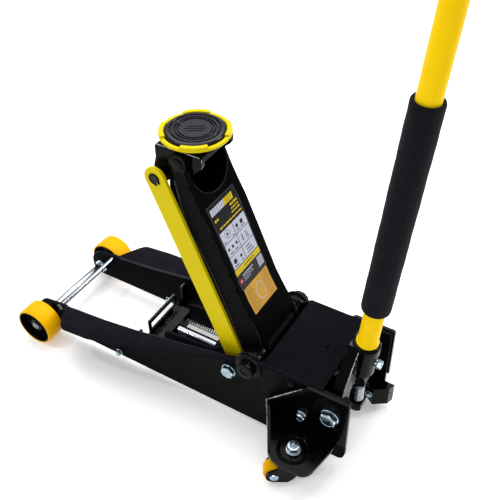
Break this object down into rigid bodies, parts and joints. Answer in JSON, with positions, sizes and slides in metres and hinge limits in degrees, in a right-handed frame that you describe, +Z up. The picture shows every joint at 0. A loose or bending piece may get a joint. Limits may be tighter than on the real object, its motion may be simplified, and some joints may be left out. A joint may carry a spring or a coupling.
{
  "type": "hydraulic trolley jack",
  "caption": "Long low trolley jack shown raised: wheeled chassis, lift arm with a level round saddle, ram, swivel casters and an upright pump handle with a foam sleeve.",
  "frame": {"origin": "centre of the footprint of the bounding box, on the floor", "axes": "+X from the saddle end to the handle end, +Y to the jack's left side (the far side as shown), +Z up"},
  "size_m": [0.748, 0.344, 1.16],
  "materials": {
    "black_gloss": "gloss black paint with light edge wear",
    "charcoal_satin": "satin charcoal powder coat",
    "yellow_paint": "semi-gloss lemon yellow paint",
    "amber_tread": "amber polyurethane",
    "zinc_plate": "bright bluish zinc plating",
    "chrome": "polished chrome",
    "rubber": "matte black rubber",
    "foam": "matte closed-cell foam",
    "black_plastic": "moulded black nylon"
  },
  "bodies": {
    "chassis": {"cross_member": "black_gloss", "pivot_shaft": "black_gloss", "near_bar_spacer": "black_gloss", "far_bar_spacer": "black_gloss", "near_cover_bolt": "black_gloss", "far_cover_bolt": "black_gloss", "pump_block": "black_gloss", "cylinder_tube": "black_gloss", "near_caster_bracket": "black_gloss", "far_caster_bracket": "black_gloss", "near_side_plate": "charcoal_satin", "far_side_plate": "charcoal_satin", "cover_plate": "charcoal_satin", "front_axle": "zinc_plate", "axle_spacer": "zinc_plate", "near_axle_nut": "zinc_plate", "far_axle_nut": "zinc_plate", "near_bar_bolt": "zinc_plate", "far_bar_bolt": "zinc_plate", "near_yoke_bolt": "zinc_plate", "far_yoke_bolt": "zinc_plate", "near_bracket_bolt": "zinc_plate", "far_bracket_bolt": "zinc_plate", "near_return_spring": "zinc_plate", "far_return_spring": "zinc_plate", "plunger_spring": "zinc_plate", "front_tie_rod": "chrome"},
    "lift_arm": {"lift_arm": "black_gloss", "drive_pin": "zinc_plate", "cradle_pin": "black_gloss"},
    "saddle_cradle": {"saddle_cradle": "black_gloss", "near_bar_pin": "zinc_plate", "far_bar_pin": "zinc_plate"},
    "saddle": {"saddle_cup": "yellow_paint", "saddle_pad": "rubber"},
    "near_levelling_bar": {"near_levelling_bar": "yellow_paint"},
    "far_levelling_bar": {"far_levelling_bar": "yellow_paint"},
    "ram": {"ram_crosshead": "black_gloss", "ram_rod": "chrome", "near_pull_bar": "charcoal_satin", "far_pull_bar": "charcoal_satin"},
    "near_wheel": {"near_wheel_hub": "black_plastic", "near_wheel_tread": "amber_tread"},
    "far_wheel": {"far_wheel_hub": "black_plastic", "far_wheel_tread": "amber_tread"},
    "near_caster_fork": {"near_caster_fork": "black_gloss", "near_caster_nut": "zinc_plate", "near_caster_axle": "zinc_plate"},
    "far_caster_fork": {"far_caster_fork": "black_gloss", "far_caster_nut": "zinc_plate", "far_caster_axle": "zinc_plate"},
    "near_caster_wheel": {"near_caster_wheel": "amber_tread"},
    "far_caster_wheel": {"far_caster_wheel": "amber_tread"},
    "handle_yoke": {"handle_yoke": "black_gloss"},
    "handle": {"handle_tube": "yellow_paint", "foam_sleeve": "foam", "end_grip": "rubber"},
    "pump_plunger": {"pump_plunger": "zinc_plate"},
    "release_spindle": {"release_spindle": "zinc_plate"}
  },
  "joints": [
    {"name": "arm_lift", "type": "hinge", "parent": "chassis", "child": "lift_arm", "pos_m": [0.1145, 0, 0.15], "axis": [0, -1, 0], "range_deg": [0, 75]},
    {"name": "cradle_level", "type": "hinge", "parent": "lift_arm", "child": "saddle_cradle", "pos_m": [-0.0155, 0, 0.476], "axis": [0, -1, 0], "range_deg": [-75, 0]},
    {"name": "saddle_spin", "type": "hinge", "parent": "saddle_cradle", "child": "saddle", "pos_m": [-0.0165, 0, 0.5], "axis": [0, 0, 1], "continuous": true},
    {"name": "near_bar_swing", "type": "hinge", "parent": "chassis", "child": "near_levelling_bar", "pos_m": [0.0765, -0.056, 0.117], "axis": [0, -1, 0], "range_deg": [0, 75]},
    {"name": "far_bar_swing", "type": "hinge", "parent": "chassis", "child": "far_levelling_bar", "pos_m": [0.0765, 0.056, 0.117], "axis": [0, -1, 0], "range_deg": [0, 75]},
    {"name": "ram_travel", "type": "slide", "parent": "chassis", "child": "ram", "axis": [1, 0, 0], "range_m": [0, 0.08524], "deforming": ["near_return_spring", "far_return_spring"]},
    {"name": "near_wheel_spin", "type": "hinge", "parent": "chassis", "child": "near_wheel", "pos_m": [-0.3355, -0.11, 0.0385], "axis": [0, 1, 0], "continuous": true},
    {"name": "far_wheel_spin", "type": "hinge", "parent": "chassis", "child": "far_wheel", "pos_m": [-0.3355, 0.11, 0.0385], "axis": [0, 1, 0], "continuous": true},
    {"name": "near_caster_swivel", "type": "hinge", "parent": "chassis", "child": "near_caster_fork", "pos_m": [0.2275, -0.1365, 0.066], "axis": [0, 0, 1], "continuous": true},
    {"name": "near_caster_spin", "type": "hinge", "parent": "near_caster_fork", "child": "near_caster_wheel", "pos_m": [0.20152, -0.1515, 0.018], "axis": [0.5, -0.866, 0], "continuous": true},
    {"name": "far_caster_swivel", "type": "hinge", "parent": "chassis", "child": "far_caster_fork", "pos_m": [0.2275, 0.1365, 0.066], "axis": [0, 0, 1], "continuous": true},
    {"name": "far_caster_spin", "type": "hinge", "parent": "far_caster_fork", "child": "far_caster_wheel", "pos_m": [0.20152, 0.1515, 0.018], "axis": [0.5, 0.866, 0], "continuous": true},
    {"name": "handle_pump", "type": "hinge", "parent": "chassis", "child": "handle_yoke", "pos_m": [0.2645, 0, 0.128], "axis": [0, 1, 0], "range_deg": [0, 60]},
    {"name": "handle_twist", "type": "hinge", "parent": "handle_yoke", "child": "handle", "pos_m": [0.2705, 0, 0.128], "axis": [0.0811, 0, 0.9967], "range_deg": [0, 120]},
    {"name": "release_turn", "type": "hinge", "parent": "chassis", "child": "release_spindle", "pos_m": [0.2285, 0, 0.11], "axis": [0, 0, 1], "range_deg": [0, 120]},
    {"name": "plunger_stroke", "type": "slide", "parent": "chassis", "child": "pump_plunger", "axis": [0, 0, -1], "range_m": [0, 0.0127], "deforming": ["plunger_spring"]}
  ],
  "couplings": [
    {"joint": "cradle_level", "follows": "arm_lift", "ratio": -1},
    {"joint": "near_bar_swing", "follows": "arm_lift", "ratio": 1},
    {"joint": "far_bar_swing", "follows": "arm_lift", "ratio": 1},
    {"joint": "ram_travel", "follows": "arm_lift", "m_per_rad": 0.065108},
    {"joint": "release_turn", "follows": "handle_twist", "ratio": 1},
    {"joint": "plunger_stroke", "follows": "handle_pump", "m_per_rad": 0.012}
  ]
}
